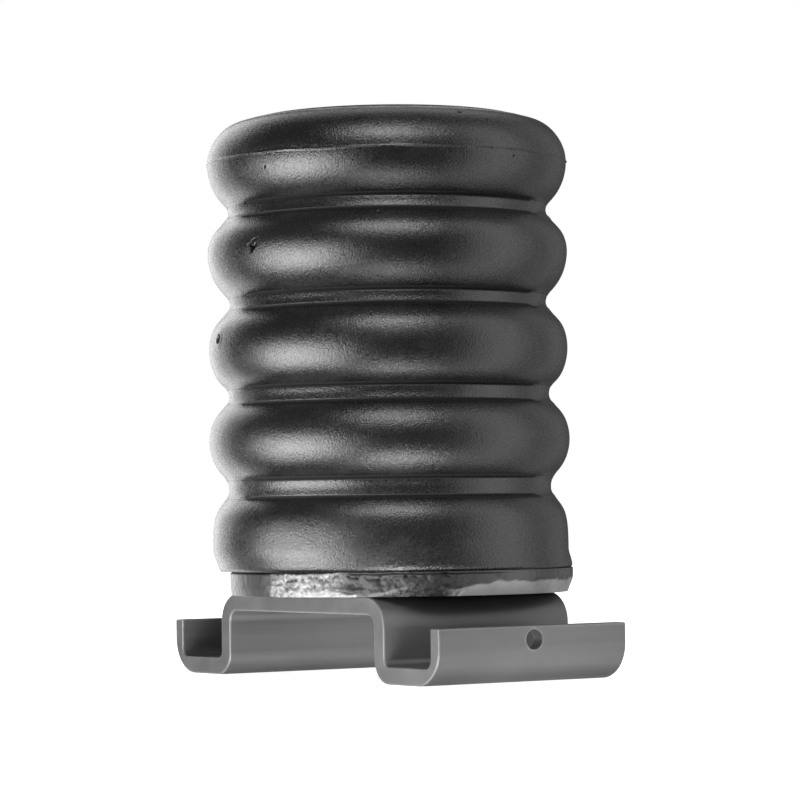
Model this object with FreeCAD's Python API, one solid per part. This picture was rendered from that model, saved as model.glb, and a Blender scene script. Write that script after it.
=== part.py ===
import FreeCAD, Part
import math
import os

# Contact-type suspension helper spring on a leaf-spring saddle bracket.
# Millimetres. +Z runs up the spring's axis, X across the saddle from channel to channel, Y along the channels.
# Origin: centre of the plane that the two channel floors stand on.

# ---- driving dimensions -------------------------------------------------
# saddle bracket: one bent strip, 3/16 in plate
PLATE_T = 4.76          # plate, web and floor thickness
LIP_T = 4.0             # lip thickness, drawn down a little by the bend
BRACKET_L = 62.1        # length along Y, to suit a 63.5 mm (2.5 in) leaf
BRACKET_W = 132.2       # overall width along X
GAP_W = 72.3            # clear width under the saddle
SADDLE_TOP = 23.1       # height of the saddle's top face
LIP_TOP = 15.3          # height of the lips
R_SADDLE_OUT, R_SADDLE_IN = 8.0, 3.2
R_WEB_OUT, R_WEB_IN = 6.5, 2.0
R_LIP_OUT, R_LIP_IN = 10.0, 2.5
EDGE_BREAK = 0.45       # broken edge on the two sheared ends
LIP_HOLE_R = 2.75       # cross hole in each lip
LIP_HOLE_Z = 11.6

# clamping hardware
SCREW_R = 4.0           # M8
SCREW_L = 16.0          # overall length, head included
SCREW_HEAD_R = 8.0
SCREW_LAND = 0.3
SOCKET_AF, SOCKET_DEPTH = 5.0, 2.6
SCREW_CLEAR_R = 4.5
NUT_AF, NUT_H, NUT_COLLAR_R, NUT_COLLAR_H = 14.0, 6.5, 5.25, 1.4
THREAD_GAP = 0.02       # between the screw and the nut's plain bore
BASE_PLATE_R, BASE_PLATE_T = 30.0, 4.0

# seat disc: moulded round the base plate, off the spring's axis
SEAT_H = 7.2
SEAT_R = 48.1
SEAT_SHIFT = 2.9
SEAT_DIR = (0.570, 0.822)
SEAT_BEVEL_R, SEAT_BEVEL_H = 0.9, 2.3
SEAT_TOP_R = 0.4
SEAT_HOLE_R = 9.5

# spring body
BORE_R = 15.0
TOP_FLAT = 132.5        # above the saddle's top face
POCKET_R, POCKET_FLOOR = 38.3, 129.2
VENT_R, VENT_Z, VENT_AZ = 1.3, 71.1, -103.5

# top plate
TOP_R = 38.0
TOP_FACE = 133.2
TOP_EDGE = 0.35
SPIGOT_R, SPIGOT_BORE_R, SPIGOT_L = 14.7, 11.2, 8.0

# Outer profile of the body: (height above the saddle's top face, radius). Each roll is one smooth curve,
# each groove has a straight-sided bottom band between two creases.
ROLLS = [
    [(7.2, 49.2), (8.2, 49.6), (10.4, 49.85), (13.7, 49.95), (18.2, 49.75), (21.5, 49.35), (23.8, 48.55), (25.4, 47.2), (26.9, 45.75)],
    [(32.15, 45.6), (33.9, 47.2), (36.1, 48.95), (38.4, 50.0), (42.8, 50.7), (47.3, 50.0), (49.6, 48.95), (51.0, 47.95), (52.85, 45.8)],
    [(57.4, 45.1), (59.7, 47.7), (62.0, 49.1), (64.2, 49.9), (69.0, 50.55), (73.2, 49.85), (75.5, 48.65), (77.1, 47.15), (79.0, 45.15)],
    [(83.0, 44.5), (84.6, 46.15), (86.8, 47.85), (89.0, 49.2), (95.0, 50.7), (98.0, 50.4), (100.3, 49.45), (102.6, 47.65), (104.6, 45.6)],
    [(108.5, 44.6), (110.5, 46.6), (112.7, 48.45), (115.0, 49.5), (121.0, 50.65), (126.3, 49.1), (128.6, 47.5), (130.7, 45.2), (131.6, 43.4), (131.9, 41.5)],
]
BANDS = [
    [(26.9, 45.75), (29.3, 45.22), (32.15, 45.6)],
    [(52.85, 45.8), (55.0, 45.0), (57.4, 45.1)],
    [(79.0, 45.15), (80.8, 44.45), (83.0, 44.5)],
    [(104.6, 45.6), (106.4, 44.7), (108.5, 44.6)],
]

os.makedirs("parts", exist_ok=True)
V = FreeCAD.Vector


def save(shape, node):
    shape.exportStep("parts/" + node + ".step")


def rounded_face(points):
    """Face in the XZ plane from (x, z, radius) corners, each corner rounded by a tangent arc."""
    n = len(points)
    runs = []
    for i in range(n):
        x, z, r = points[i]
        p = V(x, 0, z)
        a = V(points[i - 1][0], 0, points[i - 1][1]) - p
        b = V(points[(i + 1) % n][0], 0, points[(i + 1) % n][1]) - p
        a.normalize()
        b.normalize()
        if r <= 0:
            runs.append((p, None, p))
            continue
        half = a.getAngle(b) / 2
        reach = r / math.tan(half)
        mid_dir = a + b
        mid_dir.normalize()
        mid = p + mid_dir * (r / math.sin(half) - r)
        runs.append((p + a * reach, mid, p + b * reach))
    edges = []
    for i in range(n):
        start, mid, end = runs[i]
        if mid is not None:
            edges.append(Part.Arc(start, mid, end).toShape())
        nxt = runs[(i + 1) % n][0]
        if (nxt - end).Length > 1e-6:
            edges.append(Part.LineSegment(end, nxt).toShape())
    return Part.Face(Part.Wire(edges))


def revolve(edges):
    face = Part.Face(Part.Wire(edges))
    return face.revolve(V(0, 0, 0), V(0, 0, 1), 360)


def line_edges(points):
    return [Part.LineSegment(V(a[1], 0, a[0]), V(b[1], 0, b[0])).toShape() for a, b in zip(points, points[1:])]


def cyl(r, z0, z1, x=0.0, y=0.0):
    return Part.makeCylinder(r, z1 - z0, V(x, y, z0))


def hexagon(af, z0, z1):
    r = af / 2 / math.cos(math.pi / 6)
    pts = [V(r * math.cos(k * math.pi / 3), r * math.sin(k * math.pi / 3), z0) for k in range(6)]
    return Part.Face(Part.makePolygon(pts + [pts[0]])).extrude(V(0, 0, z1 - z0))


# ---- saddle bracket -----------------------------------------------------
gap = GAP_W / 2
web = gap + PLATE_T
half_w = BRACKET_W / 2
lip_in = half_w - LIP_T        # each channel is then 21.2 mm wide inside
under = SADDLE_TOP - PLATE_T
right_top = [
    (web, SADDLE_TOP, R_SADDLE_OUT),
    (web, PLATE_T, R_WEB_IN),
    (lip_in, PLATE_T, R_LIP_IN),
    (lip_in, LIP_TOP, 0.4),
    (half_w, LIP_TOP, 0.4),
    (half_w, 0, R_LIP_OUT),
    (gap, 0, R_WEB_OUT),
    (gap, under, R_SADDLE_IN),
]
section = right_top + [(-x, z, r) for x, z, r in reversed(right_top)]
bracket = rounded_face(section).extrude(V(0, BRACKET_L, 0))
bracket.translate(V(0, -BRACKET_L / 2, 0))
ends = [e for e in bracket.Edges if abs(abs(e.CenterOfMass.y) - BRACKET_L / 2) < 1e-6 and abs(e.BoundBox.YLength) < 1e-6]
bracket = bracket.makeFillet(EDGE_BREAK, ends)
for side in (1, -1):
    hole = Part.makeCylinder(LIP_HOLE_R, LIP_T + 6, V(side * (lip_in - 3), 0, LIP_HOLE_Z), V(side, 0, 0))
    bracket = bracket.cut(hole)
head_cone = SCREW_HEAD_R - SCREW_R
countersink = cyl(SCREW_HEAD_R, under - 1, under + SCREW_LAND).fuse(
    Part.makeCone(SCREW_HEAD_R, SCREW_R, head_cone, V(0, 0, under + SCREW_LAND))
)
bracket = bracket.cut(countersink).cut(cyl(SCREW_CLEAR_R, under - 1, SADDLE_TOP + 1))
save(bracket, "saddle_bracket")

# ---- mounting screw: M8 countersunk, socket facing down -----------------
screw = cyl(SCREW_HEAD_R, under, under + SCREW_LAND).fuse(
    Part.makeCone(SCREW_HEAD_R, SCREW_R, head_cone, V(0, 0, under + SCREW_LAND))
)
screw = screw.fuse(cyl(SCREW_R, under + SCREW_LAND, under + SCREW_L - 0.8))
screw = screw.fuse(Part.makeCone(SCREW_R, SCREW_R - 0.8, 0.8, V(0, 0, under + SCREW_L - 0.8)))
screw = screw.cut(hexagon(SOCKET_AF, under - 0.5, under + SOCKET_DEPTH))
screw = screw.removeSplitter()
save(screw, "mounting_screw")

# ---- base plate and weld nut --------------------------------------------
plate_top = SADDLE_TOP + BASE_PLATE_T
base_plate = cyl(BASE_PLATE_R, SADDLE_TOP, plate_top).cut(cyl(SCREW_CLEAR_R, SADDLE_TOP - 1, plate_top + 1))
base_plate = base_plate.cut(cyl(NUT_COLLAR_R + 0.05, plate_top - NUT_COLLAR_H - 0.1, plate_top + 1))
save(base_plate, "base_plate")

nut = hexagon(NUT_AF, plate_top, plate_top + NUT_H)
corner = NUT_AF / 2 / math.cos(math.pi / 6)
nut = nut.common(Part.makeCone(corner + NUT_H, corner - 0.9, NUT_H + 1.2, V(0, 0, plate_top - 1.2)))
nut = nut.fuse(cyl(NUT_COLLAR_R, plate_top - NUT_COLLAR_H, plate_top))
nut = nut.cut(cyl(SCREW_R + THREAD_GAP, plate_top - 3, plate_top + NUT_H + 1))
nut = nut.removeSplitter()
save(nut, "weld_nut")

# ---- seat disc ----------------------------------------------------------
norm = math.hypot(*SEAT_DIR)
sx, sy = SEAT_SHIFT * SEAT_DIR[0] / norm, SEAT_SHIFT * SEAT_DIR[1] / norm
z0, z1 = SADDLE_TOP, SADDLE_TOP + SEAT_H
seat = revolve(line_edges([(z0, 0), (z0, SEAT_R - SEAT_BEVEL_R), (z0 + SEAT_BEVEL_H, SEAT_R), (z1 - SEAT_TOP_R, SEAT_R), (z1, SEAT_R - SEAT_TOP_R), (z1, 0), (z0, 0)]))
seat.translate(V(sx, sy, 0))
seat = seat.cut(cyl(BASE_PLATE_R + 0.05, z0 - 1, plate_top)).cut(cyl(SEAT_HOLE_R, z0 - 1, z1 + 1))
save(seat, "seat_disc")

# ---- spring body --------------------------------------------------------
edges = []
for i, roll in enumerate(ROLLS):
    curve = Part.BSplineCurve()
    curve.interpolate([V(r, 0, SADDLE_TOP + z) for z, r in roll])
    edges.append(curve.toShape())
    if i < len(BANDS):
        edges += line_edges([(SADDLE_TOP + z, r) for z, r in BANDS[i]])
zt, zp, zb = SADDLE_TOP + TOP_FLAT, SADDLE_TOP + POCKET_FLOOR, SADDLE_TOP + SEAT_H
land = [(SADDLE_TOP + ROLLS[-1][-1][0], ROLLS[-1][-1][1]), (zt, 40.8), (zt, POCKET_R), (zp, POCKET_R), (zp, BORE_R), (zb, BORE_R), (zb, ROLLS[0][0][1])]
edges += line_edges(land)
body = revolve(edges)
az = math.radians(VENT_AZ)
vent = Part.makeCylinder(VENT_R, 60, V(0, 0, SADDLE_TOP + VENT_Z), V(math.cos(az), math.sin(az), 0))
body = body.cut(vent)
save(body, "spring_body")

# ---- top plate ----------------------------------------------------------
tz0, tz1 = zp, SADDLE_TOP + TOP_FACE
top = revolve(line_edges([(tz0 - SPIGOT_L, SPIGOT_BORE_R), (tz0 - SPIGOT_L, SPIGOT_R - 0.8), (tz0 - SPIGOT_L + 0.8, SPIGOT_R), (tz0, SPIGOT_R), (tz0, TOP_R), (tz1 - TOP_EDGE, TOP_R), (tz1, TOP_R - TOP_EDGE), (tz1, 0), (tz0, 0), (tz0, SPIGOT_BORE_R), (tz0 - SPIGOT_L, SPIGOT_BORE_R)]))
save(top, "top_plate")

for name, s in (("saddle_bracket", bracket), ("mounting_screw", screw), ("base_plate", base_plate), ("weld_nut", nut), ("seat_disc", seat), ("spring_body", body), ("top_plate", top)):
    bb = s.BoundBox
    print("%-15s valid=%s solids=%d vol=%.2f cm3  box %.2f..%.2f %.2f..%.2f %.2f..%.2f" % (name, s.isValid(), len(s.Solids), s.Volume / 1000, bb.XMin, bb.XMax, bb.YMin, bb.YMax, bb.ZMin, bb.ZMax))
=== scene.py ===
import math

import bpy
import numpy as np
from mathutils import Matrix, Vector


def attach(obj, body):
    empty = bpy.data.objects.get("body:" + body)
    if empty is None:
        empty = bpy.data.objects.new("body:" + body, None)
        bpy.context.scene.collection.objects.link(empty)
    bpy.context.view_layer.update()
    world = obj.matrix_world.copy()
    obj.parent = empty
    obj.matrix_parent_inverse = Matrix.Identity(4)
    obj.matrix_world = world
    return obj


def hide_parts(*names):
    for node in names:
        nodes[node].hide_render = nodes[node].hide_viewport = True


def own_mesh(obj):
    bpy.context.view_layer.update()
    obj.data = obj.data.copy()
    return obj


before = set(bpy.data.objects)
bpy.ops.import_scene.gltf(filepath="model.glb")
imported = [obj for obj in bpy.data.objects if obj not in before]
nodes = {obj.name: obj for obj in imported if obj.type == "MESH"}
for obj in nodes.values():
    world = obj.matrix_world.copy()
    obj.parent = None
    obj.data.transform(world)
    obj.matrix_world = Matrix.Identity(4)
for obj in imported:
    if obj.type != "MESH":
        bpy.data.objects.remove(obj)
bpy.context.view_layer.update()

scene = bpy.context.scene
MM = 0.001

# ------------------------------------------------------------------ directions
# The camera stands low, at azimuth 55.3 degrees; these are level unit vectors.
FACING = Vector((0.822, -0.570, 0.0)).normalized()   # from the object towards the camera
RIGHT = Vector((0.570, 0.822, 0.0)).normalized()     # to the camera's right
UP = Vector((0.0, 0.0, 1.0))
FACING_AZ = math.atan2(FACING.y, FACING.x)


# ------------------------------------------------------------------ seeded smooth noise
class Waves:
    """Smooth noise on (angle, height), periodic in angle: a seeded sum of cosine waves."""

    def __init__(self, seed, count, turn_range, rise_range, fall=0.0):
        rng = np.random.default_rng(seed)
        self.k = np.round(rng.uniform(turn_range[0], turn_range[1], count)) * rng.choice([-1, 1], count)
        self.m = rng.uniform(rise_range[0], rise_range[1], count) * rng.choice([-1, 1], count)
        self.p = rng.uniform(0, 2 * math.pi, count)
        size = np.hypot(self.k / 50.0, self.m)
        self.a = (1.0 / np.maximum(size, 1e-3)) ** fall
        self.a /= math.sqrt((self.a**2).sum() / 2)

    def __call__(self, th, z):
        out = np.zeros(np.broadcast(th, z).shape)
        for k, m, p, a in zip(self.k, self.m, self.p, self.a):
            out += a * np.cos(k * th + m * z + p)
        return out


def smoothstep(a, b, x):
    t = np.clip((x - a) / (b - a), 0, 1)
    return t * t * (3 - 2 * t)


def wrap(a):
    return (a + math.pi) % (2 * math.pi) - math.pi


# ------------------------------------------------------------------ spring body profile (mm)
Z0 = 23.1      # the saddle's top face
ROLLS = [
    [(6.7, 49.2), (6.95, 49.45), (7.6, 49.6), (9.2, 49.74), (11.08, 49.84), (13.0, 49.93), (15.0, 49.92), (16.9, 49.86), (18.63, 49.72), (20.51, 49.45), (22.34, 48.98), (24.03, 48.15), (25.52, 47.1), (26.89, 45.75)],
    [(32.15, 45.6), (33.71, 47.22), (35.51, 48.59), (37.55, 49.64), (39.74, 50.33), (42.02, 50.66), (44.31, 50.61), (46.57, 50.20), (48.72, 49.40), (50.69, 48.15), (52.0, 46.95), (52.85, 45.8)],
    [(57.4, 45.1), (58.8, 46.85), (60.71, 48.43), (62.96, 49.5), (65.37, 50.16), (67.85, 50.45), (70.34, 50.35), (72.78, 49.85), (75.07, 48.86), (77.05, 47.30), (78.2, 46.15), (79.0, 45.15)],
    [(83.0, 44.5), (84.6, 46.22), (86.5, 47.78), (88.63, 49.04), (90.98, 49.93), (93.41, 50.46), (95.9, 50.6), (98.37, 50.2), (100.64, 49.25), (102.6, 47.7), (103.8, 46.5), (104.6, 45.6)],
    [(108.5, 44.6), (110.2, 46.45), (112.43, 48.2), (114.96, 49.49), (117.66, 50.29), (120.47, 50.61), (123.27, 50.32), (125.92, 49.35), (128.3, 47.84), (130.2, 45.95), (131.35, 44.1), (131.85, 42.6), (132.0, 41.5)],
]
COVE_SAG = 0.45   # how far each groove's floor is hollowed between its two creases


def chord_spline(points, n):
    """n points evenly spread along a C2 cubic spline through the points, by chord length."""
    p = np.array(points, float)
    t = np.concatenate([[0], np.cumsum(np.hypot(*np.diff(p, axis=0).T))])
    k = len(p)
    out = []
    fine = np.linspace(0, t[-1], 1200)
    for axis in range(2):
        y = p[:, axis]
        h = np.diff(t)
        a = np.zeros((k, k))
        b = np.zeros(k)
        a[0, 0], a[0, 1], a[0, 2] = h[1], -(h[0] + h[1]), h[0]              # not-a-knot ends
        a[-1, -3], a[-1, -2], a[-1, -1] = h[-1], -(h[-2] + h[-1]), h[-2]
        for i in range(1, k - 1):
            a[i, i - 1], a[i, i], a[i, i + 1] = h[i - 1], 2 * (h[i - 1] + h[i]), h[i]
            b[i] = 6 * ((y[i + 1] - y[i]) / h[i] - (y[i] - y[i - 1]) / h[i - 1])
        m = np.linalg.solve(a, b)
        i = np.clip(np.searchsorted(t, fine, side="right") - 1, 0, k - 2)
        d, hh = fine - t[i], h[i]
        out.append(
            y[i]
            + d * ((y[i + 1] - y[i]) / hh - hh * (2 * m[i] + m[i + 1]) / 6)
            + d**2 * m[i] / 2
            + d**3 * (m[i + 1] - m[i]) / (6 * hh)
        )
    curve = np.array(out).T
    length = np.concatenate([[0], np.cumsum(np.hypot(*np.diff(curve, axis=0).T))])
    s = np.linspace(0, length[-1], n)
    return np.column_stack([np.interp(s, length, curve[:, 0]), np.interp(s, length, curve[:, 1])])


def cove(a, b, n):
    """The hollow floor of a groove, from crease a to crease b."""
    a, b = np.array(a, float), np.array(b, float)
    u = np.linspace(0, 1, n)[1:-1]
    d = b - a
    normal = np.array([d[1], -d[0]]) / np.hypot(*d)     # towards the axis
    if normal[1] > 0:
        normal = -normal
    sag = COVE_SAG * np.hypot(*d) / 5.3 * np.sin(math.pi * u**0.8)
    return a + u[:, None] * d + sag[:, None] * normal


profile = []
for i, roll in enumerate(ROLLS):
    profile.append(chord_spline(roll, 400))
    if i + 1 < len(ROLLS):
        profile.append(cove(roll[-1], ROLLS[i + 1][0], 120))
profile = np.vstack(profile)
keep = np.concatenate([[True], np.hypot(*np.diff(profile, axis=0).T) > 1e-6])
profile = profile[keep]
plen = np.concatenate([[0], np.cumsum(np.hypot(*np.diff(profile, axis=0).T))])


def arc_of(z):
    """Arc length along the outer profile at a height above the saddle (the profile rises all the way)."""
    return float(np.interp(z, profile[:, 0], plen))


CREASES = [arc_of(z) for roll in ROLLS for z in (roll[0][0], roll[-1][0])][1:-1]

# ------------------------------------------------------------------ small marks on the body
# Each mark is (angle from the camera-facing side, height above the saddle, half size, levels).
# A level is (radius, depth): the mesh's cells round the mark are bent into rings of those radii.
SEAM_Z = 120.55
NOTCH = 0.6      # each crease is a sharp-bottomed line


def mark_levels(r, depth, lip=0.0):
    return [(0.0, depth), (0.55 * r, depth * 0.96), (0.88 * r, depth * 0.72), (1.05 * r, depth * 0.12), (1.45 * r, -lip)]


VENT_LEVELS = [(0.0, 30.0), (0.65, 30.0), (1.02, 29.7), (1.1, 24.0), (1.13, 8.0), (1.15, 1.5), (1.2, 0.3), (1.34, 0.02), (1.65, -0.12), (2.1, -0.09), (2.8, -0.01)]
MARKS = [
    {"az": -69.2, "z": 71.1, "half": 3.4, "levels": VENT_LEVELS, "wobble": 0.0},
    # torn bubbles on the second roll: (across, along the profile, radius, depth) in one finely cut patch
    {"az": -46.3, "z": 95.6, "half": 2.7, "cells": 30,
     "pits": [(0.7, 1.6, 0.4, 2.0), (-0.15, 0.9, 0.5, 3.0), (-1.0, 0.05, 0.68, 4.0), (-0.65, -1.2, 0.8, 4.2), (0.3, -0.65, 0.55, 3.2), (1.3, -0.1, 0.52, 3.0), (-1.7, -1.95, 0.18, 0.3), (1.9, 1.9, 0.2, 0.3)]},
    # single pits
    {"az": -41.0, "z": 116.6, "half": 0.8, "levels": mark_levels(0.34, 0.35, 0.03), "wobble": 0.25},
    {"az": 26.2, "z": 130.55, "half": 1.2, "levels": mark_levels(0.58, 0.55, 0.0), "wobble": 0.25},
    {"az": 35.2, "z": 128.5, "half": 0.9, "levels": mark_levels(0.4, 0.35, 0.02), "wobble": 0.25},
    {"az": 43.5, "z": 118.75, "half": 0.8, "levels": mark_levels(0.36, 0.35, 0.02), "wobble": 0.3},
    {"az": -2.6, "z": 103.2, "half": 0.9, "levels": mark_levels(0.38, 0.4, 0.02), "wobble": 0.3},
    # round the back, so that every side has the odd bubble
    {"az": 98.0, "z": 118.75, "half": 0.8, "levels": mark_levels(0.36, 0.35, 0.02), "wobble": 0.3},
    {"az": 143.0, "z": 44.6, "half": 0.9, "levels": mark_levels(0.4, 0.4, 0.02), "wobble": 0.3},
    {"az": -158.0, "z": 44.6, "half": 0.9, "levels": mark_levels(0.36, 0.35, 0.02), "wobble": 0.3},
    {"az": -126.0, "z": 103.2, "half": 0.9, "levels": mark_levels(0.4, 0.4, 0.02), "wobble": 0.3},
]


def refined(total, blocks, fixed, coarse):
    """Grid stations from 0 to total: each block (centre, half, count) evenly cut, the fixed stations kept, the rest at most coarse apart."""
    spans = sorted({(round(c - h, 6), round(c + h, 6), n) for c, h, n in blocks})
    for (a0, a1, _), (b0, b1, _) in zip(spans, spans[1:]):
        assert a1 < b0 - 0.05, ("marks overlap", a0, a1, b0, b1)
    knots = {0.0, float(total)}
    for a, b, _ in spans:
        knots |= {a, b}
    for f in fixed:
        if not any(a - 0.12 < f < b + 0.12 for a, b, _ in spans):
            knots.add(f)
    knots = sorted(knots)
    out = [knots[0]]
    for a, b in zip(knots, knots[1:]):
        block = next((n for s0, s1, n in spans if abs(s0 - a) < 1e-9 and abs(s1 - b) < 1e-9), None)
        n = block if block else max(1, math.ceil((b - a) / coarse(0.5 * (a + b)) - 1e-6))
        out += list(a + (b - a) * np.arange(1, n + 1) / n)
    return np.array(out)


R_REF = 50.0
for m in MARKS:
    m["s"] = arc_of(m["z"])
    m["r"] = float(np.interp(m["s"], plen, profile[:, 1]))
    m["th"] = (math.radians(m["az"])) % (2 * math.pi)
    m["n"] = 2 * len(m["levels"]) if "levels" in m else m["cells"]

# columns: angle from the camera-facing side, cut finer where a mark needs it
th_blocks = [(m["th"] * R_REF, m["half"] / m["r"] * R_REF, m["n"]) for m in MARKS]
columns = refined(2 * math.pi * R_REF, th_blocks, [], lambda x: 2.0) / R_REF
columns = columns[:-1]

# rows: along the profile, finer at the creases and the seam
seam_s = arc_of(SEAM_Z)
crease_rows = [c + d for c in CREASES for d in (-0.95, -0.62, -0.42, -0.27, -0.13, 0, 0.13, 0.27, 0.42, 0.62, 0.95)]
seam_rows = [seam_s + d for d in (-0.62, -0.36, -0.22, -0.12, 0, 0.12, 0.22, 0.36, 0.62)]
row_blocks = [(m["s"], m["half"], m["n"]) for m in MARKS]
rows_s = refined(plen[-1], row_blocks, crease_rows + seam_rows, lambda x: 1.0)


def outer_grid():
    """Vertices (rows x columns) of the body's outer face, in mm, height measured from the part's origin."""
    S, TH = np.meshgrid(rows_s, columns, indexing="ij")
    depth = np.zeros_like(S)
    rng = np.random.default_rng(5)
    for m in MARKS:
        half = m["half"]
        u = wrap(TH - m["th"]) * m["r"]
        v = S - m["s"]
        q = np.maximum(np.abs(u), np.abs(v))
        inside = q < half * 0.9999
        if "pits" in m:
            for du, dv, pr, pd in m["pits"]:
                ang = np.arctan2(v - dv, u - du)
                p1, p2 = rng.uniform(0, 6.28, 2)
                edge = pr * (1 + 0.16 * np.cos(2 * ang + p1) + 0.12 * np.cos(3 * ang + p2))
                t = np.hypot(u - du, v - dv) / edge
                hole = pd * (1 - smoothstep(0.6, 1.12, t)) - 0.03 * np.exp(-(((t - 1.35) / 0.22) ** 2))
                depth = np.where(inside, np.where(np.abs(hole) > np.abs(depth), hole, depth), depth)
            continue
        levels, n = m["levels"], len(m["levels"])
        lvl = q[inside] / half * n
        ang = np.arctan2(v[inside], u[inside])
        radii = np.array([l[0] for l in levels] + [half])
        deps = np.array([l[1] for l in levels] + [0.0])
        rad = np.interp(lvl, np.arange(n + 1), radii)
        dep = np.interp(lvl, np.arange(n + 1), deps)
        if m["wobble"]:
            a1, a2, p1, p2 = rng.uniform(0.5, 1, 2).tolist() + rng.uniform(0, 6.28, 2).tolist()
            shape = 1 + m["wobble"] * (a1 * np.cos(2 * ang + p1) + 0.6 * a2 * np.cos(3 * ang + p2))
            fade = np.clip((n - lvl) / 1.5, 0, 1)
            rad = rad * (1 + (shape - 1) * fade)
        # the last level is the square block's own edge, so blend the circle into it over the last ring
        blend = np.clip(lvl - (n - 1), 0, 1)
        cu, cv = rad * np.cos(ang), rad * np.sin(ang)
        uu = cu * (1 - blend) + u[inside] * blend
        vv = cv * (1 - blend) + v[inside] * blend
        TH[inside] = m["th"] + uu / m["r"]
        S[inside] = m["s"] + vv
        depth[inside] = dep
    z = np.interp(S, plen, profile[:, 0])
    r = np.interp(S, plen, profile[:, 1])
    # profile normals
    dz, dr = np.gradient(profile[:, 0], plen), np.gradient(profile[:, 1], plen)
    nz, nr = -np.interp(S, plen, dr), np.interp(S, plen, dz)
    ln = np.hypot(nz, nr)
    nz, nr = nz / ln, nr / ln
    world_th = TH + FACING_AZ
    # moulding is a little uneven: a slow wave in the rolls, none of it more than a few hundredths
    slow = Waves(11, 14, (2, 7), (0.02, 0.09))(world_th, z)
    mid = Waves(12, 22, (9, 26), (0.1, 0.5))(world_th, z)
    push = 0.05 * slow + 0.012 * mid
    # parting line: a thin raised thread with nibs where the flash tore
    nib = Waves(21, 26, (60, 330), (0, 0.01))(world_th, z)
    big = Waves(22, 10, (12, 50), (0, 0.01))(world_th, z)
    height = np.clip(0.23 + 0.09 * nib + 0.06 * big, 0.05, 0.5)
    drift = 0.06 * Waves(23, 8, (5, 30), (0, 0.01))(world_th, z)
    dist = np.abs(S - seam_s - drift)
    push += height * np.clip(1 - dist / 0.27, 0, 1) ** 0.8
    # thin tears of flash along the groove edges
    deg = np.degrees(wrap(TH))
    side_deg = np.where(deg > 0, deg - 6, -deg - 1)
    sharp = 1 - smoothstep(52, 63, side_deg) * (1 - smoothstep(122, 136, side_deg))
    for c in CREASES:
        push += (0.34 - (NOTCH + 0.34) * sharp) * np.exp(-(((S - c) / (0.95 - 0.53 * sharp)) ** 2))
        near = np.clip(1 - np.abs(S - c) / 0.5, 0, 1)
        push += near * 0.012 * Waves(int(c * 7) % 97 + 31, 16, (30, 160), (0, 0.01))(world_th, z)
    push -= depth * 1.0
    global crease_sharp
    crease_sharp = sharp
    z, r = z + push * nz, r + push * nr
    # the lowest edge leans over to the seat disc's centre
    shift = 1.35 * (1 - smoothstep(6.7, 12.5, z))
    x = r * np.cos(world_th) + shift * RIGHT.x
    y = r * np.sin(world_th) + shift * RIGHT.y
    return x, y, z + Z0, depth


def mesh_from(name, verts, faces, smooth=True):
    me = bpy.data.meshes.new(name)
    me.from_pydata(verts, [], faces)
    me.update()
    if smooth:
        me.polygons.foreach_set("use_smooth", [True] * len(me.polygons))
    o = bpy.data.objects.new(name, me)
    scene.collection.objects.link(o)
    return o


def ring_faces(a, b, n):
    """Quads between ring a and ring b (first vertex numbers), each of n vertices, facing out when b is above a."""
    j = np.arange(n)
    k = (j + 1) % n
    return np.column_stack([a + j, a + k, b + k, b + j])


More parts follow.
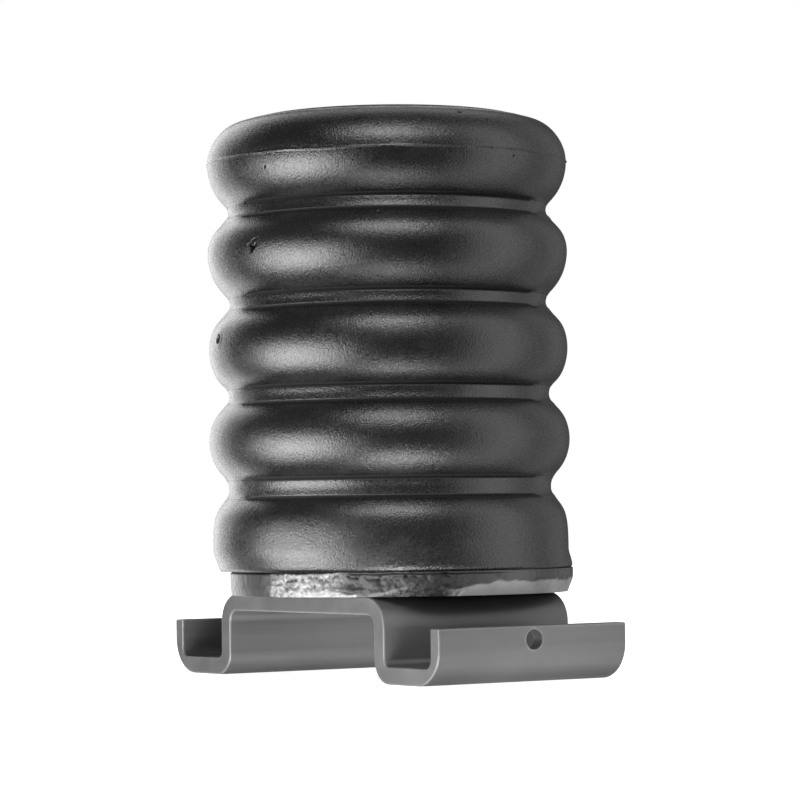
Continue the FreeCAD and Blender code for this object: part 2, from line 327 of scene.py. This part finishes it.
def build_body():
    x, y, z, depth = outer_grid()
    n = len(columns)
    rings = [np.column_stack([x[i], y[i], z[i]]) for i in range(len(rows_s))]
    # over the top: land, pocket wall, pocket floor, bore, and the flat underside
    world_th = columns + FACING_AZ
    lip = Waves(41, 18, (3, 40), (0, 0.01))(world_th, 0)

    def circle(r, zz, sh=0.0, lump=0.0):
        rr = r + lump * lip
        return np.column_stack([rr * np.cos(world_th) + sh * RIGHT.x, rr * np.sin(world_th) + sh * RIGHT.y, np.full(n, zz)])

    top = Z0 + 132.5
    for r, zz, lump in [
        (41.25, Z0 + 132.12, 0.01), (41.0, Z0 + 132.34, 0.015), (40.7, Z0 + 132.46, 0.02), (40.3, top, 0.02), (39.5, top, 0.02), (38.8, top, 0.01), (38.5, top - 0.05, 0.01),
        (38.36, top - 0.2, 0.0), (38.3, top - 0.5, 0.0), (38.3, Z0 + 130.6, 0.0), (38.3, Z0 + 129.25, 0.0), (38.25, Z0 + 129.2, 0.0), (36.0, Z0 + 129.2, 0.0), (28.0, Z0 + 129.2, 0.0), (20.0, Z0 + 129.2, 0.0),
        (15.6, Z0 + 129.2, 0.0), (15.15, Z0 + 129.05, 0.0), (15.0, Z0 + 128.6, 0.0), (15.0, Z0 + 110.0, 0.0), (15.0, Z0 + 80.0, 0.0), (15.0, Z0 + 50.0, 0.0), (15.0, Z0 + 20.0, 0.0), (15.0, Z0 + 7.7, 0.0), (15.2, Z0 + 7.3, 0.0), (15.6, Z0 + 7.2, 0.0),
        (30.0, Z0 + 7.2, 0.0), (44.0, Z0 + 7.2, 0.0), (48.7, Z0 + 6.72, 0.0),
    ]:
        rings.append(circle(r, zz, {44.0: 1.0, 48.7: 1.35}.get(r, 0.0), lump))
    verts = np.vstack(rings) * MM
    faces = np.vstack([ring_faces(i * n, (i + 1) * n, n) for i in range(len(rings) - 1)] + [ring_faces((len(rings) - 1) * n, 0, n)])
    o = mesh_from("moulded_spring_body", verts.tolist(), faces.tolist())
    # crease: a mask along each sharp crease, used to paint shade into the crease lines
    attribute = o.data.attributes.new("crease", "FLOAT", "POINT")
    near = np.zeros(len(verts))
    s_all = np.repeat(rows_s, n)
    for c in CREASES:
        near[: len(s_all)] = np.maximum(near[: len(s_all)], np.clip(1 - np.abs(s_all - c) / 1.1, 0, 1) * crease_sharp.ravel())
    attribute.data.foreach_set("value", near.astype(np.float32))
    # hollow: a mask of the pits and the vent, used to paint shade into them
    hollow = o.data.attributes.new("hollow", "FLOAT", "POINT")
    deep = np.zeros(len(verts))
    deep[: depth.size] = np.clip((depth.ravel() - 0.1) / 0.25, 0, 1)
    deep[: depth.size] = np.where(depth.ravel() > 5, 1.0, deep[: depth.size])
    hollow.data.foreach_set("value", deep.astype(np.float32))
    # painted highlight: the narrow land round the top is coloured pale
    land = o.data.attributes.new("pale_band", "FLOAT", "POINT")
    hz, hr = verts[:, 2] / MM - Z0, np.hypot(verts[:, 0], verts[:, 1]) / MM
    land.data.foreach_set("value", (smoothstep(131.55, 131.9, hz) * (hr > 38.45)).astype(np.float32))
    return o


# ------------------------------------------------------------------ seat disc (the rough rim)
SEAT_R, SEAT_SHIFT = 48.1, 2.9
SEAT_Z0, SEAT_Z1 = 23.1, 30.3


def build_seat():
    """The moulded seat disc: smooth skin on one side, torn and pitted flash on the other, a bevel under its edge."""
    n = 760
    az = np.arange(n) / n * 2 * math.pi                  # from the camera-facing side
    world_th = az + FACING_AZ
    a = wrap(az)
    deg = np.degrees(a)
    # how raw the edge is, by angle: 0 smooth skin, 1 torn
    raw_hi = smoothstep(-50, -46, deg) * (1 - smoothstep(-25, -16, deg))
    raw_lo = smoothstep(-25, -16, deg) * (1 - smoothstep(15, 24, deg))
    back = 0.75 * smoothstep(100, 112, np.abs(deg)) * (0.5 + 0.5 * np.sign(np.sin(3.1 * a + 0.8)))
    raw = np.clip(raw_hi + raw_lo + back, 0, 1)
    bevel = smoothstep(12, 34, deg) * (1 - smoothstep(96, 110, deg))
    zs = np.array([0.0, 0.12, 0.3, 0.55, 0.85, 1.15, 1.45, 1.75, 2.05, 2.3, 2.55, 2.85, 3.2, 3.55, 3.9, 4.25, 4.55, 4.85, 5.15, 5.4, 5.6, 5.78, 5.94, 6.08, 6.2, 6.3, 6.37])
    Z, TH = np.meshgrid(zs, world_th, indexing="ij")
    RAW, BEV, RAWHI, RAWLO = (np.broadcast_to(q, Z.shape) for q in (raw, bevel, raw_hi, raw_lo))
    r = np.full(Z.shape, SEAT_R)
    # bevel under the edge: deeper where the skin is clean
    tall = 2.0 + 1.9 * BEV
    low = np.clip((tall - Z) / tall, 0, 1)
    r = r - low * (0.35 + 1.15 * BEV)
    # rounded upper edge
    deg2 = np.degrees(wrap(TH - FACING_AZ))
    joined = smoothstep(-30, -18, deg2) * (1 - smoothstep(140, 160, deg2))     # where the disc's skin meets the body's
    r = r - 0.45 * (1 - joined) * np.clip((Z - 5.85) / 0.52, 0, 1) ** 2
    # torn skin
    coarse = Waves(51, 60, (20, 120), (0.4, 2.2))(TH, Z)
    fine = Waves(52, 90, (90, 330), (1.5, 5.0))(TH, Z)
    streak = Waves(53, 30, (8, 40), (1.5, 4.5))(TH, Z)
    r = r + RAW * (0.12 * coarse + 0.075 * fine + 0.1 * streak)
    r = r + (1 - RAW) * (0.022 * coarse + 0.008 * fine)
    # pits in the raw part
    pits = np.clip(Waves(54, 70, (40, 200), (0.8, 3.5))(TH, Z) - 1.15, 0, 1.2)
    r = r - RAW * 0.55 * pits
    # a ledge of flash low on the bright side, and a thin lip that runs round the top
    ledge = smoothstep(-44, -36, np.degrees(wrap(TH - FACING_AZ))) * (1 - smoothstep(-14, -9, np.degrees(wrap(TH - FACING_AZ))))
    r = r + ledge * 0.5 * np.exp(-(((Z - 1.5 - 0.35 * Waves(55, 8, (6, 30), (0, 0.01))(TH, Z)) / 0.7) ** 2))
    lipz = 6.2
    lipw = smoothstep(-24, -14, np.degrees(wrap(TH - FACING_AZ))) * (1 - smoothstep(8, 48, np.degrees(wrap(TH - FACING_AZ))))
    r = r + lipw * 1.15 * smoothstep(5.55, 6.15, Z)
    r = np.minimum(r, SEAT_R + 0.55 + 0.75 * lipw * smoothstep(5.5, 6.1, Z))
    Z = Z + 0.3 * joined * smoothstep(4.8, 6.37, Z)
    rings = [np.column_stack([r[i] * np.cos(world_th), r[i] * np.sin(world_th), Z[i]]) for i in range(len(zs))]

    def circle(rr, zz, lump=None):
        q = np.full(n, rr) + (0 if lump is None else lump)
        return np.column_stack([q * np.cos(world_th), q * np.sin(world_th), np.full(n, zz)])

    wob = 0.05 * Waves(56, 20, (10, 80), (0, 0.01))(world_th, 0)
    rings += [circle(SEAT_R - 0.85, 6.4, wob), circle(SEAT_R - 2.0, 6.45), circle(43.5, 6.5), circle(40.5, 7.19), circle(30.0, 7.2)]
    dx, dy = SEAT_SHIFT * RIGHT.x, SEAT_SHIFT * RIGHT.y
    for ring in rings:
        ring[:, 0] += dx
        ring[:, 1] += dy
        ring[:, 2] += SEAT_Z0
    inner = [(9.5, 7.2), (9.5, 4.2), (9.5, 4.0), (30.05, 4.0), (30.05, 3.8), (30.05, 0.0)]
    for rr, zz in inner:
        ring = circle(rr, zz)
        ring[:, 2] += SEAT_Z0
        rings.append(ring)
    last = circle(42.0, 0.0)
    last[:, 0] += dx
    last[:, 1] += dy
    last[:, 2] += SEAT_Z0
    rings.append(last)
    verts = np.vstack(rings) * MM
    faces = np.vstack([ring_faces(i * n, (i + 1) * n, n) for i in range(len(rings) - 1)] + [ring_faces((len(rings) - 1) * n, 0, n)])
    o = mesh_from("rough_edged_seat_disc", verts.tolist(), faces.tolist())
    attribute = o.data.attributes.new("raw", "FLOAT", "POINT")
    value = np.zeros(len(verts))
    value[: n * len(zs)] = np.repeat(raw[None, :], len(zs), 0).ravel()
    attribute.data.foreach_set("value", value.astype(np.float32))
    # painted highlight: the torn stretch that faces the low-left lamp is marked to be coloured pale in specks
    hot = o.data.attributes.new("highlight_patch", "FLOAT", "POINT")
    value = np.zeros(len(verts))
    value[: n * len(zs)] = (raw_hi[None, :] * np.ones((len(zs), 1))).ravel()
    hot.data.foreach_set("value", value.astype(np.float32))
    # painted highlight: a pale band low on the lamp-lit stretch, and a thin one that runs on under the torn stretch
    edge = 1.75 + 0.45 * Waves(57, 12, (8, 60), (0, 0.01))(TH, Z)
    DEG = np.degrees(wrap(TH - FACING_AZ))
    edge = np.interp(DEG, [-43, -41, -37, -33, -29, -25, -20, -15], [0.0, 0.4, 0.9, 1.3, 1.9, 1.7, 0.9, 0.5]) + 0.12 * Waves(57, 12, (20, 90), (0, 0.01))(TH, Z)
    rise = 0.1 + 2.1 * smoothstep(-11, 3, DEG)                # the thin line climbs and ends near the front
    thin = np.exp(-(((Z - rise - 0.2) / 0.34) ** 2)) * smoothstep(-19, -16, DEG) * (1 - smoothstep(1, 4, DEG))
    arc = np.hypot((DEG + 30.5) / 3.6, (Z - 1.7) / 2.0)         # an arched mark, part of the painted highlight
    band = (DEG < -15) * (DEG > -43) * (1 - smoothstep(edge - 0.25, edge + 0.2, Z)) + 0.35 * thin + 0.8 * np.exp(-(((arc - 1) / 0.14) ** 2)) * (Z > 1.6)
    pale = o.data.attributes.new("highlight_band", "FLOAT", "POINT")
    value = np.zeros(len(verts))
    value[: n * len(zs)] = np.clip(band, 0, 1).ravel()
    pale.data.foreach_set("value", value.astype(np.float32))
    # the bevel on the clean side is coloured paler, with a ragged upper edge and a crack-like blemish or two above it
    paler_bevel = smoothstep(13, 19, DEG) * (1 - smoothstep(84, 92, DEG)) * (1 - smoothstep(-0.15, 0.35, Z - tall + 0.35 + 0.16 * Waves(59, 14, (10, 60), (0.1, 0.5))(TH, Z)))
    pale_band = o.data.attributes.new("pale_band", "FLOAT", "POINT")
    value = np.zeros(len(verts))
    value[: n * len(zs)] = np.clip(paler_bevel, 0, 1).ravel()
    pale_band.data.foreach_set("value", value.astype(np.float32))
    # painted shade: pits in the torn flash and cracks above the bevel, to be coloured near-black
    holes = np.zeros(Z.shape)
    for d0, z0, wd, wz in [(-38.4, 4.5, 0.7, 0.5), (-36.6, 4.4, 0.7, 0.55), (-34.0, 4.7, 0.6, 0.45), (-26.8, 4.6, 0.8, 0.55), (-24.9, 4.2, 0.9, 0.6), (-26.2, 3.6, 0.7, 0.45), (-22.6, 4.9, 0.6, 0.4), (32.6, 5.3, 1.6, 0.55), (35.0, 4.7, 0.9, 0.4), (41.5, 3.9, 1.6, 0.35), (50.0, 4.3, 1.5, 0.3), (64.0, 3.7, 0.9, 0.5)]:
        holes = np.maximum(holes, 1 - smoothstep(0.7, 1.15, np.hypot((DEG - d0) / wd, (Z - z0) / wz)))
    black = o.data.attributes.new("hollow", "FLOAT", "POINT")
    value = np.zeros(len(verts))
    value[: n * len(zs)] = holes.ravel()
    black.data.foreach_set("value", value.astype(np.float32))
    return o


body = build_body()
seat = build_seat()


# ------------------------------------------------------------------ materials
class Nodes:
    """A short way to write a node material."""

    def __init__(self, name):
        self.mat = bpy.data.materials.new(name)
        self.mat.use_nodes = True
        self.t = self.mat.node_tree
        self.t.nodes.clear()
        self.out = self.t.nodes.new("ShaderNodeOutputMaterial")
        self.bsdf = self.t.nodes.new("ShaderNodeBsdfPrincipled")
        self.t.links.new(self.bsdf.outputs[0], self.out.inputs[0])
        self.coord = self.t.nodes.new("ShaderNodeTexCoord").outputs["Object"]

    def link(self, a, b):
        self.t.links.new(a, b)

    def noise(self, scale, detail=2.0, rough=0.5, stretch=None, distort=0.0):
        src = self.coord
        if stretch is not None:
            mp = self.t.nodes.new("ShaderNodeMapping")
            mp.inputs["Scale"].default_value = stretch
            self.link(src, mp.inputs[0])
            src = mp.outputs[0]
        nd = self.t.nodes.new("ShaderNodeTexNoise")
        nd.inputs["Scale"].default_value = scale
        nd.inputs["Detail"].default_value = detail
        nd.inputs["Roughness"].default_value = rough
        nd.inputs["Distortion"].default_value = distort
        self.link(src, nd.inputs["Vector"])
        return nd.outputs["Fac"]

    def voronoi(self, scale, feature="F1", random=1.0):
        nd = self.t.nodes.new("ShaderNodeTexVoronoi")
        nd.feature = feature
        nd.inputs["Scale"].default_value = scale
        nd.inputs["Randomness"].default_value = random
        self.link(self.coord, nd.inputs["Vector"])
        return nd.outputs["Distance"]

    def remap(self, src, a, b, c, d, clamp=True):
        nd = self.t.nodes.new("ShaderNodeMapRange")
        nd.clamp = clamp
        nd.inputs["From Min"].default_value = a
        nd.inputs["From Max"].default_value = b
        nd.inputs["To Min"].default_value = c
        nd.inputs["To Max"].default_value = d
        self.link(src, nd.inputs["Value"])
        return nd.outputs["Result"]

    def math(self, op, a, b=None, clamp=False):
        nd = self.t.nodes.new("ShaderNodeMath")
        nd.operation = op
        nd.use_clamp = clamp
        for i, v in enumerate((a, b)):
            if v is None:
                continue
            if isinstance(v, (int, float)):
                nd.inputs[i].default_value = v
            else:
                self.link(v, nd.inputs[i])
        return nd.outputs[0]

    def ramp(self, fac, stops):
        nd = self.t.nodes.new("ShaderNodeValToRGB")
        cr = nd.color_ramp
        while len(cr.elements) > 1:
            cr.elements.remove(cr.elements[-1])
        cr.elements[0].position = stops[0][0]
        cr.elements[0].color = (*stops[0][1], 1)
        for pos, col in stops[1:]:
            e = cr.elements.new(pos)
            e.color = (*col, 1)
        self.link(fac, nd.inputs["Fac"])
        return nd.outputs["Color"]

    def mix(self, fac, a, b, blend="MIX"):
        nd = self.t.nodes.new("ShaderNodeMix")
        nd.data_type = "RGBA"
        nd.blend_type = blend
        for sock, v in ((nd.inputs["Factor"], fac), (nd.inputs["A"], a), (nd.inputs["B"], b)):
            pass
        ins = [s for s in nd.inputs if s.enabled]
        for s, v in zip(ins, (fac, a, b)):
            if isinstance(v, (int, float)):
                s.default_value = v
            elif isinstance(v, tuple):
                s.default_value = (*v, 1)
            else:
                self.link(v, s)
        return [s for s in nd.outputs if s.enabled][0]

    def attribute(self, name):
        nd = self.t.nodes.new("ShaderNodeAttribute")
        nd.attribute_name = name
        return nd.outputs["Fac"]

    def edge(self, radius, lo, hi):
        """0 on flat faces, 1 on convex edges sharper than radius."""
        bev = self.t.nodes.new("ShaderNodeBevel")
        bev.samples = 4
        bev.inputs["Radius"].default_value = radius
        geo = self.t.nodes.new("ShaderNodeNewGeometry")
        dot = self.t.nodes.new("ShaderNodeVectorMath")
        dot.operation = "DOT_PRODUCT"
        self.link(bev.outputs[0], dot.inputs[0])
        self.link(geo.outputs["Normal"], dot.inputs[1])
        return self.remap(dot.outputs["Value"], hi, lo, 0, 1)

    def bump(self, height, distance, strength=1.0, after=None):
        nd = self.t.nodes.new("ShaderNodeBump")
        nd.inputs["Strength"].default_value = strength
        nd.inputs["Distance"].default_value = distance
        self.link(height, nd.inputs["Height"])
        if after is not None:
            self.link(after, nd.inputs["Normal"])
        return nd.outputs["Normal"]

    def set(self, **values):
        names = {"color": "Base Color", "rough": "Roughness", "metal": "Metallic", "ior": "IOR", "spec": "Specular IOR Level", "normal": "Normal", "sheen": "Sheen Weight", "sheen_rough": "Sheen Roughness", "coat": "Coat Weight", "coat_rough": "Coat Roughness", "diff_rough": "Diffuse Roughness"}
        for k, v in values.items():
            s = self.bsdf.inputs[names[k]]
            if isinstance(v, (int, float)):
                s.default_value = v
            elif isinstance(v, tuple):
                s.default_value = (*v, 1)
            else:
                self.link(v, s)
        return self.mat


def foam_rubber():
    m = Nodes("foam_rubber_skin")
    grain = m.noise(2000, 2.0, 0.6)
    fine = m.noise(4300, 1.0, 0.5)
    soft = m.noise(240, 4.0, 0.6)
    cloud = m.noise(52, 4.0, 0.55)
    scuff = m.remap(m.noise(95, 6.0, 0.68, (1.0, 1.0, 1.6), 0.4), 0.56, 0.74, 0.0, 1.0)
    color = m.ramp(cloud, [(0.3, (0.0030, 0.0030, 0.0031)), (0.52, (0.0042, 0.0042, 0.0043)), (0.75, (0.0060, 0.0060, 0.0062))])
    color = m.mix(m.math("MULTIPLY", scuff, 0.22), color, (0.022, 0.022, 0.0225))
    # painted shade: the crease lines, the pits and the vent are coloured near-black, and made rough so they hold no
    # highlight
    line = m.remap(m.attribute("crease"), 0.32, 0.6, 0.0, 1.0)
    hollow = m.attribute("hollow")
    painted_shade = m.math("MAXIMUM", line, hollow)
    color = m.mix(painted_shade, color, (0.0012, 0.0012, 0.0012))
    # painted highlight: the narrow land round the top is coloured pale
    color = m.mix(m.math("MULTIPLY", m.attribute("pale_band"), m.remap(soft, 0.35, 0.6, 0.4, 1.0)), color, (0.14, 0.14, 0.14))
    rough = m.remap(cloud, 0.3, 0.7, 0.26, 0.31)
    rough = m.math("ADD", rough, m.remap(grain, 0.3, 0.7, -0.06, 0.06))
    rough = m.math("ADD", rough, m.math("MULTIPLY", scuff, 0.05))
    rough = m.math("ADD", rough, m.math("MULTIPLY", painted_shade, 0.75), clamp=True)
    b = m.bump(soft, 0.00015, 0.5)
    b = m.bump(grain, 0.00014, 0.8, b)
    b = m.bump(fine, 0.00006, 0.7, b)
    return m.set(color=color, rough=rough, normal=b, ior=1.5)


def seat_rubber():
    m = Nodes("seat_urethane_edge")
    raw, highlight_patch, highlight_band = m.attribute("raw"), m.attribute("highlight_patch"), m.attribute("highlight_band")
    grain = m.noise(2300, 3.0, 0.7)
    chunk = m.noise(900, 5.0, 0.7)
    patch = m.noise(260, 3.0, 0.6, (1.0, 1.0, 1.8))
    cloud = m.noise(90, 4.0, 0.6)
    color = m.ramp(cloud, [(0.3, (0.012, 0.012, 0.0122)), (0.7, (0.022, 0.022, 0.0225))])
    torn = m.ramp(chunk, [(0.4, (0.0008, 0.0008, 0.0008)), (0.56, (0.002, 0.002, 0.002)), (0.7, (0.016, 0.016, 0.016))])
    # painted highlight: pale specks on the torn stretch that faces the low-left lamp
    bright = m.ramp(m.math("ADD", m.math("MULTIPLY", chunk, 0.6), m.math("MULTIPLY", grain, 0.4)), [(0.36, (0.02, 0.02, 0.02)), (0.45, (0.09, 0.09, 0.09)), (0.54, (0.17, 0.17, 0.17)), (0.64, (0.34, 0.34, 0.338))])
    color = m.mix(m.math("MULTIPLY", raw, 0.96), color, torn)
    painted_highlight = m.math("MULTIPLY", highlight_patch, m.remap(patch, 0.36, 0.52, 0.35, 1.0), clamp=True)
    color = m.mix(painted_highlight, color, bright)
    # painted highlight: the pale band low on the lamp-lit stretch
    color = m.mix(m.math("MULTIPLY", highlight_band, m.remap(chunk, 0.34, 0.5, 0.45, 1.0)), color, (0.2, 0.2, 0.199))
    # the bevel on the clean side is coloured paler
    color = m.mix(m.math("MULTIPLY", m.attribute("pale_band"), m.remap(cloud, 0.3, 0.6, 0.55, 1.0)), color, (0.24, 0.24, 0.24))
    # painted shade: the pits and cracks are coloured near-black
    color = m.mix(m.attribute("hollow"), color, (0.002, 0.002, 0.002))
    rough = m.remap(m.math("ADD", m.math("MULTIPLY", raw, 0.5), chunk), 0.3, 1.2, 0.34, 0.5)
    h = m.math("ADD", m.math("MULTIPLY", grain, 0.5), chunk)
    b = m.bump(m.math("MULTIPLY", h, m.math("ADD", m.math("MULTIPLY", raw, 0.8), 0.1)), 0.0003, 0.8)
    return m.set(color=color, rough=rough, normal=b, ior=1.5)


def bracket_paint():
    m = Nodes("bracket_satin_paint")
    cloud = m.noise(26, 5.0, 0.6)
    speck = m.noise(900, 3.0, 0.65)
    peel = m.noise(420, 2.0, 0.5)
    draw = m.noise(160, 4.0, 0.6, (1.0, 0.035, 1.0))     # faint lines along the rolling direction
    edge = m.edge(0.0007, 0.90, 0.985)
    color = m.ramp(cloud, [(0.25, (0.036, 0.036, 0.0364)), (0.5, (0.047, 0.047, 0.0475)), (0.78, (0.059, 0.059, 0.0596))])
    color = m.mix(m.remap(draw, 0.42, 0.66, 0.0, 0.35), color, (0.085, 0.085, 0.0858))
    color = m.mix(m.remap(speck, 0.62, 0.74, 0.0, 0.5), color, (0.034, 0.034, 0.034))
    # painted highlight: convex edges are coloured paler, in patches
    edge_highlight = m.math("MULTIPLY", edge, m.remap(m.noise(320, 4.0, 0.7), 0.3, 0.6, 0.35, 1.0))
    color = m.mix(m.math("MULTIPLY", edge_highlight, 0.7), color, (0.22, 0.22, 0.221))
    rough = m.remap(m.math("ADD", cloud, m.math("MULTIPLY", draw, 0.5)), 0.5, 1.0, 0.36, 0.5)
    b = m.bump(peel, 0.00006, 0.35)
    b = m.bump(speck, 0.00003, 0.35, b)
    return m.set(color=color, rough=rough, normal=b, metal=0.25, ior=1.5)


def zinc_steel():
    m = Nodes("zinc_plated_steel")
    turned = m.noise(210, 4.0, 0.6, (1.0, 1.0, 6.0))
    cloud = m.noise(60, 4.0, 0.6)
    edge = m.edge(0.0004, 0.90, 0.985)
    color = m.ramp(cloud, [(0.3, (0.36, 0.36, 0.35)), (0.7, (0.52, 0.52, 0.5))])
    color = m.mix(m.math("MULTIPLY", edge, 0.5), color, (0.72, 0.72, 0.7))
    rough = m.remap(turned, 0.3, 0.7, 0.3, 0.46)
    b = m.bump(turned, 0.00004, 0.4)
    return m.set(color=color, rough=rough, normal=b, metal=0.9)


def top_plastic():
    m = Nodes("top_plate_plastic")
    grain = m.noise(1700, 3.0, 0.6)
    cloud = m.noise(48, 5.0, 0.6)
    scuff = m.remap(m.noise(130, 6.0, 0.7, (1.0, 2.2, 1.0), 0.6), 0.57, 0.72, 0.0, 1.0)
    edge = m.edge(0.0006, 0.90, 0.985)
    color = m.ramp(cloud, [(0.3, (0.013, 0.013, 0.0135)), (0.7, (0.021, 0.021, 0.0215))])
    color = m.mix(m.math("MULTIPLY", scuff, 0.3), color, (0.06, 0.06, 0.06))
    color = m.mix(m.math("MULTIPLY", edge, 0.35), color, (0.07, 0.07, 0.07))
    rough = m.remap(m.math("ADD", cloud, m.math("MULTIPLY", scuff, 0.3)), 0.3, 1.0, 0.42, 0.6)
    b = m.bump(grain, 0.00007, 0.5)
    return m.set(color=color, rough=rough, normal=b, ior=1.47)


def paint(o, mat):
    if len(o.material_slots) == 0:
        o.data.materials.append(mat)
    for s in o.material_slots:
        s.link = "OBJECT"
        s.material = mat


rubber, seat_mat, paint_mat, zinc, plastic = foam_rubber(), seat_rubber(), bracket_paint(), zinc_steel(), top_plastic()
body.data.materials.append(rubber)
seat.data.materials.append(seat_mat)
paint(nodes["saddle_bracket"], paint_mat)
for name in ("mounting_screw", "base_plate", "weld_nut"):
    paint(nodes[name], zinc)
paint(nodes["top_plate"], plastic)

# ------------------------------------------------------------------ floor
floor_mat = Nodes("pale_floor")
fleck = floor_mat.noise(3.0, 4.0, 0.5)
floor_mat.set(color=floor_mat.ramp(fleck, [(0.3, (0.86, 0.86, 0.86)), (0.7, (0.89, 0.89, 0.89))]), rough=0.9, spec=0.1)
floor_mat.bsdf.inputs["Emission Color"].default_value = (1, 1, 1, 1)
far = floor_mat.t.nodes.new("ShaderNodeVectorMath")
far.operation = "LENGTH"
floor_mat.link(floor_mat.coord, far.inputs[0])
floor_mat.link(floor_mat.remap(far.outputs["Value"], 0.12, 0.75, 0.8, 1.0), floor_mat.bsdf.inputs["Emission Strength"])
floor = mesh_from("floor", [(-6, -6, 0), (6, -6, 0), (6, 6, 0), (-6, 6, 0)], [(0, 1, 2, 3)], smooth=False)
floor.data.materials.append(floor_mat.mat)
floor.visible_shadow = False
floor.visible_glossy = False
floor.visible_diffuse = False

# ------------------------------------------------------------------ lights
CENTRE = Vector((0, 0, 0.085))


def direction(az, el):
    """Unit vector: az in degrees from the camera-facing side, positive to the camera's right."""
    a, e = math.radians(az), math.radians(el)
    return (FACING * math.cos(a) + RIGHT * math.sin(a)) * math.cos(e) + UP * math.sin(e)


def softbox(name, az, el, dist, size, power, spread=180, target=CENTRE):
    light = bpy.data.lights.new(name, "AREA")
    light.shape = "RECTANGLE"
    light.size, light.size_y = size
    light.energy = power
    light.spread = math.radians(spread)
    o = bpy.data.objects.new(name, light)
    scene.collection.objects.link(o)
    d = direction(az, el)
    o.location = target + d * dist
    z = d
    x = UP.cross(z).normalized()
    y = z.cross(x)
    o.rotation_euler = Matrix((x, y, z)).transposed().to_euler()
    return o


def aim(o, point):
    """Turns a softbox so that it faces a point."""
    o.rotation_euler = (Vector(point) - o.location).to_track_quat("-Z", "Y").to_euler()


softbox("low_left_softbox", -59.5, 0, 0.5, (0.47, 0.35), 7.4, target=Vector((0, 0, -0.10)))
softbox("top_front_softbox", 2, 45, 0.9, (0.56, 0.34), 6.6)
softbox("low_front_fill", 2, -54, 0.9, (0.44, 0.30), 3.4)
softbox("right_panel", 76, 0, 1.2, (0.95, 3.6), 21.0, target=Vector((0, 0, -0.05)))
softbox("right_back_panel", 128, 0, 1.3, (0.9, 2.6), 3.4)
softbox("back_left_wrap", -148, 0, 1.3, (0.8, 2.2), 15.0)
softbox("back_top_softbox", 180, 60, 1.2, (1.1, 0.7), 2.6)
aim(softbox("floor_bounce", 8, 0, 0.125, (0.26, 0.09), 0.19, 50, target=Vector((0, 0, -0.062))), (0.03, -0.02, -0.006))

world = bpy.data.worlds.new("studio_white")
scene.world = world
world.use_nodes = True
wt = world.node_tree
wt.nodes.clear()
wout = wt.nodes.new("ShaderNodeOutputWorld")
seen = wt.nodes.new("ShaderNodeBackground")
seen.inputs["Color"].default_value = (1, 1, 1, 1)
seen.inputs["Strength"].default_value = 1.0
fill = wt.nodes.new("ShaderNodeBackground")
fill.inputs["Color"].default_value = (1, 1, 1, 1)
fill.inputs["Strength"].default_value = 0.12
lp = wt.nodes.new("ShaderNodeLightPath")
wmix = wt.nodes.new("ShaderNodeMixShader")
wt.links.new(lp.outputs["Is Camera Ray"], wmix.inputs[0])
wt.links.new(fill.outputs[0], wmix.inputs[1])
wt.links.new(seen.outputs[0], wmix.inputs[2])
wt.links.new(wmix.outputs[0], wout.inputs[0])

# ------------------------------------------------------------------ camera
cam = bpy.data.objects.new("camera", bpy.data.cameras.new("camera"))
scene.collection.objects.link(cam)
pitch, roll = math.radians(1.965), math.radians(0.718)
level = Vector((-0.8216, 0.5697, 0.0)).normalized()
side = level.cross(UP).normalized()
forward = level * math.cos(pitch) + UP * math.sin(pitch)
upward = side.cross(forward).normalized()
cx = side * math.cos(roll) - upward * math.sin(roll)
cy = side * math.sin(roll) + upward * math.cos(roll)
cam.matrix_world = Matrix.Translation(Vector((0.7661, -0.5309, 0.04536))) @ Matrix((cx, cy, -forward)).transposed().to_4x4()
cam.data.sensor_width = 36
cam.data.lens = 148.98
cam.data.shift_x = 0.0124
cam.data.clip_start, cam.data.clip_end = 0.01, 50
scene.camera = cam
scene.view_settings.view_transform = "Standard"
scene.view_settings.look = "None"

# ------------------------------------------------------------------ riding on the frame
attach(body, "base")
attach(seat, "base")
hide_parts("spring_body")
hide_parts("seat_disc")
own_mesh(body)
